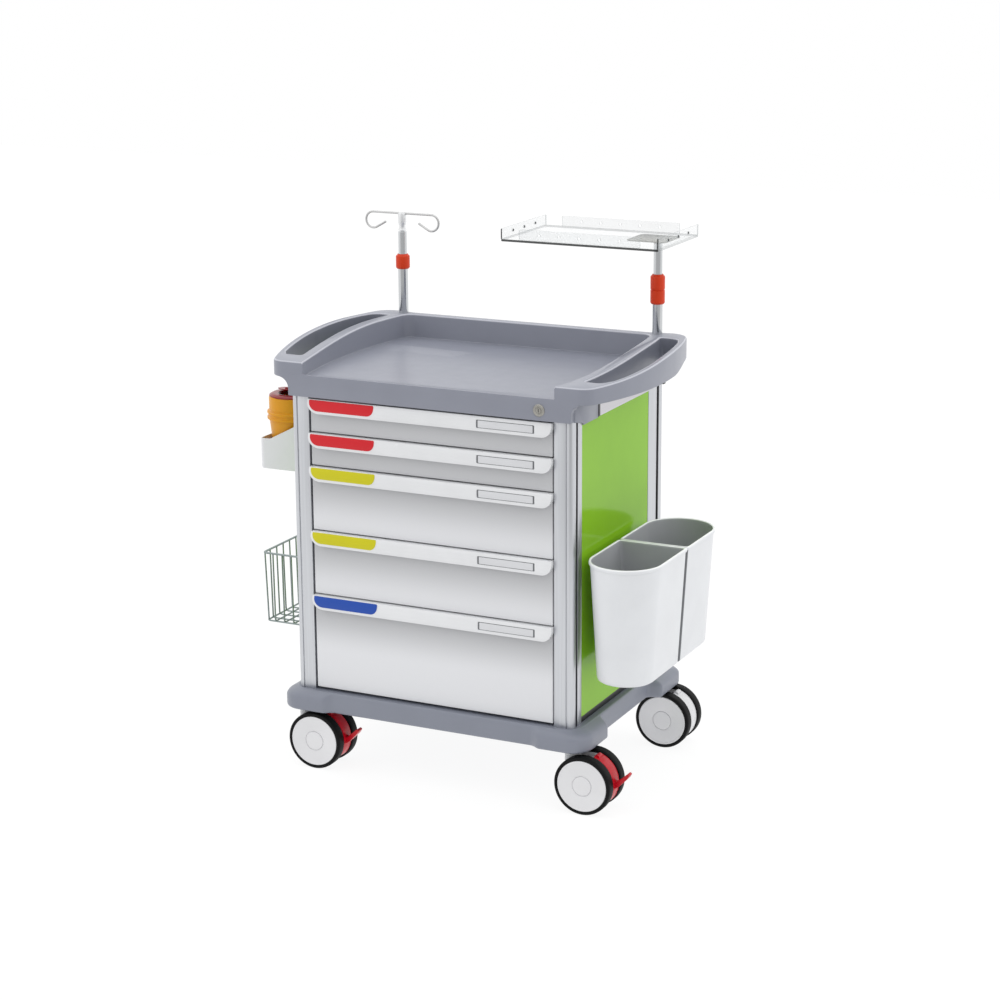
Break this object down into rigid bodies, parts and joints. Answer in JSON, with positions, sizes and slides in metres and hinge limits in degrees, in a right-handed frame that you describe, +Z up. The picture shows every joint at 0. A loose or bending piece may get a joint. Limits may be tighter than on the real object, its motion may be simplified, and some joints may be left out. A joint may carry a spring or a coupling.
{
  "type": "hospital emergency trolley",
  "caption": "Drawer trolley on swivel casters with a moulded worktop and side handles, drip pole, clear swivelling shelf, waste bins, sharps holder and wire basket.",
  "frame": {"origin": "on the floor under the middle of the cabinet and of the whole trolley's box", "axes": "+Z up, drawers open towards -Y, +X to the right seen from the front, bins on the +X side"},
  "size_m": [0.986, 0.5295, 1.15],
  "materials": {
    "grey_moulding": "fine satin grain",
    "chassis_steel": "black powder coat",
    "post_aluminium": "satin anodised",
    "green_panel": "glossy sheet",
    "white_steel": "satin powder coat",
    "white_moulding": "satin moulding",
    "slide_steel": "zinc plated",
    "red_tab": "glossy moulding",
    "yellow_tab": "glossy moulding",
    "blue_tab": "glossy moulding",
    "lock_metal": "satin nickel",
    "wheel_white": "satin moulding",
    "tyre_black": "matt tread",
    "pedal_red": "glossy moulding",
    "pole_chrome": "polished stainless tube",
    "collar_orange": "satin moulding",
    "clear_acrylic": "clear polished sheet",
    "bin_grey": "satin moulding",
    "sharps_yellow": "satin moulding",
    "sharps_red": "satin moulding",
    "basket_chrome": "bright chrome wire"
  },
  "bodies": {
    "cart": {"base": "grey_moulding", "chassis_frame": "chassis_steel", "post_front_left": "post_aluminium", "post_front_right": "post_aluminium", "post_rear_left": "post_aluminium", "post_rear_right": "post_aluminium", "side_panels": "green_panel", "back_panel": "white_steel", "drawer_rails": "slide_steel", "worktop": "grey_moulding", "side_trims": "post_aluminium", "lock_barrel": "lock_metal", "drip_pole_tube": "pole_chrome", "shelf_pole_tube": "pole_chrome", "bin_bracket": "post_aluminium", "sharps_holder": "white_moulding", "wire_basket": "basket_chrome", "screws": "slide_steel"},
    "lock_plug": {"lock_plug": "lock_metal"},
    "lock_bar": {"lock_bar": "slide_steel"},
    "drawer_1": {"drawer_box_1": "white_steel", "drawer_front_1": "white_moulding", "colour_tab_1": "red_tab"},
    "drawer_2": {"drawer_box_2": "white_steel", "drawer_front_2": "white_moulding", "colour_tab_2": "red_tab"},
    "drawer_3": {"drawer_box_3": "white_steel", "drawer_front_3": "white_moulding", "colour_tab_3": "yellow_tab"},
    "drawer_4": {"drawer_box_4": "white_steel", "drawer_front_4": "white_moulding", "colour_tab_4": "yellow_tab"},
    "drawer_5": {"drawer_box_5": "white_steel", "drawer_front_5": "white_moulding", "colour_tab_5": "blue_tab"},
    "caster_front_left": {"caster_housing_front_left": "wheel_white"},
    "wheels_front_left": {"wheel_front_left": "wheel_white", "tyre_front_left": "tyre_black"},
    "pedal_front_left": {"brake_pedal_front_left": "pedal_red"},
    "caster_front_right": {"caster_housing_front_right": "wheel_white"},
    "wheels_front_right": {"wheel_front_right": "wheel_white", "tyre_front_right": "tyre_black"},
    "pedal_front_right": {"brake_pedal_front_right": "pedal_red"},
    "caster_rear_left": {"caster_housing_rear_left": "wheel_white"},
    "wheels_rear_left": {"wheel_rear_left": "wheel_white", "tyre_rear_left": "tyre_black"},
    "caster_rear_right": {"caster_housing_rear_right": "wheel_white"},
    "wheels_rear_right": {"wheel_rear_right": "wheel_white", "tyre_rear_right": "tyre_black"},
    "drip_collar": {"drip_pole_collar": "collar_orange"},
    "drip_upper": {"drip_pole_upper": "pole_chrome"},
    "drip_head": {"drip_hooks": "pole_chrome"},
    "shelf_collar": {"shelf_pole_collar": "collar_orange"},
    "shelf_upper": {"shelf_pole_upper": "pole_chrome"},
    "shelf": {"clear_shelf": "clear_acrylic"},
    "bin_front": {"bin_front": "bin_grey"},
    "bin_rear": {"bin_rear": "bin_grey"},
    "sharps_bottle": {"sharps_container": "sharps_yellow", "sharps_lid": "sharps_red"},
    "sharps_flap": {"sharps_flap": "sharps_red"}
  },
  "joints": [
    {"name": "drawer_1_slide", "type": "slide", "parent": "cart", "child": "drawer_1", "axis": [0, -1, 0], "range_m": [0, 0.3]},
    {"name": "drawer_2_slide", "type": "slide", "parent": "cart", "child": "drawer_2", "axis": [0, -1, 0], "range_m": [0, 0.3]},
    {"name": "drawer_3_slide", "type": "slide", "parent": "cart", "child": "drawer_3", "axis": [0, -1, 0], "range_m": [0, 0.3]},
    {"name": "drawer_4_slide", "type": "slide", "parent": "cart", "child": "drawer_4", "axis": [0, -1, 0], "range_m": [0, 0.3]},
    {"name": "drawer_5_slide", "type": "slide", "parent": "cart", "child": "drawer_5", "axis": [0, -1, 0], "range_m": [0, 0.3]},
    {"name": "lock_turn", "type": "hinge", "parent": "cart", "child": "lock_plug", "pos_m": [0.254, -0.25, 0.84], "axis": [0, -1, 0], "range_deg": [0, 90]},
    {"name": "lock_bar_lift", "type": "slide", "parent": "cart", "child": "lock_bar", "axis": [0, 0, 1], "range_m": [0, 0.008]},
    {"name": "swivel_front_left", "type": "hinge", "parent": "cart", "child": "caster_front_left", "pos_m": [-0.315, -0.2165, 0.12], "axis": [0, 0, 1], "continuous": true},
    {"name": "roll_front_left", "type": "hinge", "parent": "caster_front_left", "child": "wheels_front_left", "pos_m": [-0.278, -0.2165, 0.0625], "axis": [0, 1, 0], "continuous": true},
    {"name": "brake_front_left", "type": "hinge", "parent": "caster_front_left", "child": "pedal_front_left", "pos_m": [-0.278, -0.2165, 0.0625], "axis": [0, 1, 0], "range_deg": [0, 12]},
    {"name": "swivel_front_right", "type": "hinge", "parent": "cart", "child": "caster_front_right", "pos_m": [0.315, -0.2165, 0.12], "axis": [0, 0, 1], "continuous": true},
    {"name": "roll_front_right", "type": "hinge", "parent": "caster_front_right", "child": "wheels_front_right", "pos_m": [0.352, -0.2165, 0.0625], "axis": [0, 1, 0], "continuous": true},
    {"name": "brake_front_right", "type": "hinge", "parent": "caster_front_right", "child": "pedal_front_right", "pos_m": [0.352, -0.2165, 0.0625], "axis": [0, 1, 0], "range_deg": [0, 12]},
    {"name": "swivel_rear_left", "type": "hinge", "parent": "cart", "child": "caster_rear_left", "pos_m": [-0.315, 0.2165, 0.12], "axis": [0, 0, 1], "continuous": true},
    {"name": "roll_rear_left", "type": "hinge", "parent": "caster_rear_left", "child": "wheels_rear_left", "pos_m": [-0.278, 0.2165, 0.0625], "axis": [0, 1, 0], "continuous": true},
    {"name": "swivel_rear_right", "type": "hinge", "parent": "cart", "child": "caster_rear_right", "pos_m": [0.315, 0.2165, 0.12], "axis": [0, 0, 1], "continuous": true},
    {"name": "roll_rear_right", "type": "hinge", "parent": "caster_rear_right", "child": "wheels_rear_right", "pos_m": [0.352, 0.2165, 0.0625], "axis": [0, 1, 0], "continuous": true},
    {"name": "drip_collar_twist", "type": "hinge", "parent": "cart", "child": "drip_collar", "pos_m": [-0.307, 0.236, 1.028], "axis": [0, 0, 1], "range_deg": [0, 90]},
    {"name": "drip_pole_lift", "type": "slide", "parent": "cart", "child": "drip_upper", "axis": [0, 0, 1], "range_m": [0, 0.35]},
    {"name": "drip_hooks_swivel", "type": "hinge", "parent": "drip_upper", "child": "drip_head", "pos_m": [-0.307, 0.236, 1.1], "axis": [0, 0, 1], "continuous": true},
    {"name": "shelf_collar_twist", "type": "hinge", "parent": "cart", "child": "shelf_collar", "pos_m": [0.307, 0.236, 1.006], "axis": [0, 0, 1], "range_deg": [0, 90]},
    {"name": "shelf_pole_lift", "type": "slide", "parent": "cart", "child": "shelf_upper", "axis": [0, 0, 1], "range_m": [0, 0.3]},
    {"name": "shelf_swivel", "type": "hinge", "parent": "shelf_upper", "child": "shelf", "pos_m": [0.307, 0.236, 1.115], "axis": [0, 0, 1], "continuous": true},
    {"name": "bin_front_lift", "type": "slide", "parent": "cart", "child": "bin_front", "axis": [0, 0, 1], "range_m": [0, 0.12]},
    {"name": "bin_rear_lift", "type": "slide", "parent": "cart", "child": "bin_rear", "axis": [0, 0, 1], "range_m": [0, 0.12]},
    {"name": "sharps_lift", "type": "slide", "parent": "cart", "child": "sharps_bottle", "axis": [0, 0, 1], "range_m": [0, 0.035]},
    {"name": "sharps_flap_hinge", "type": "hinge", "parent": "sharps_bottle", "child": "sharps_flap", "pos_m": [-0.4345, -0.001, 0.7769], "axis": [1, 0, 0], "range_deg": [-62, 7]}
  ],
  "couplings": [
    {"joint": "lock_turn", "follows": "lock_bar_lift", "rad_per_m": 196.34}
  ]
}
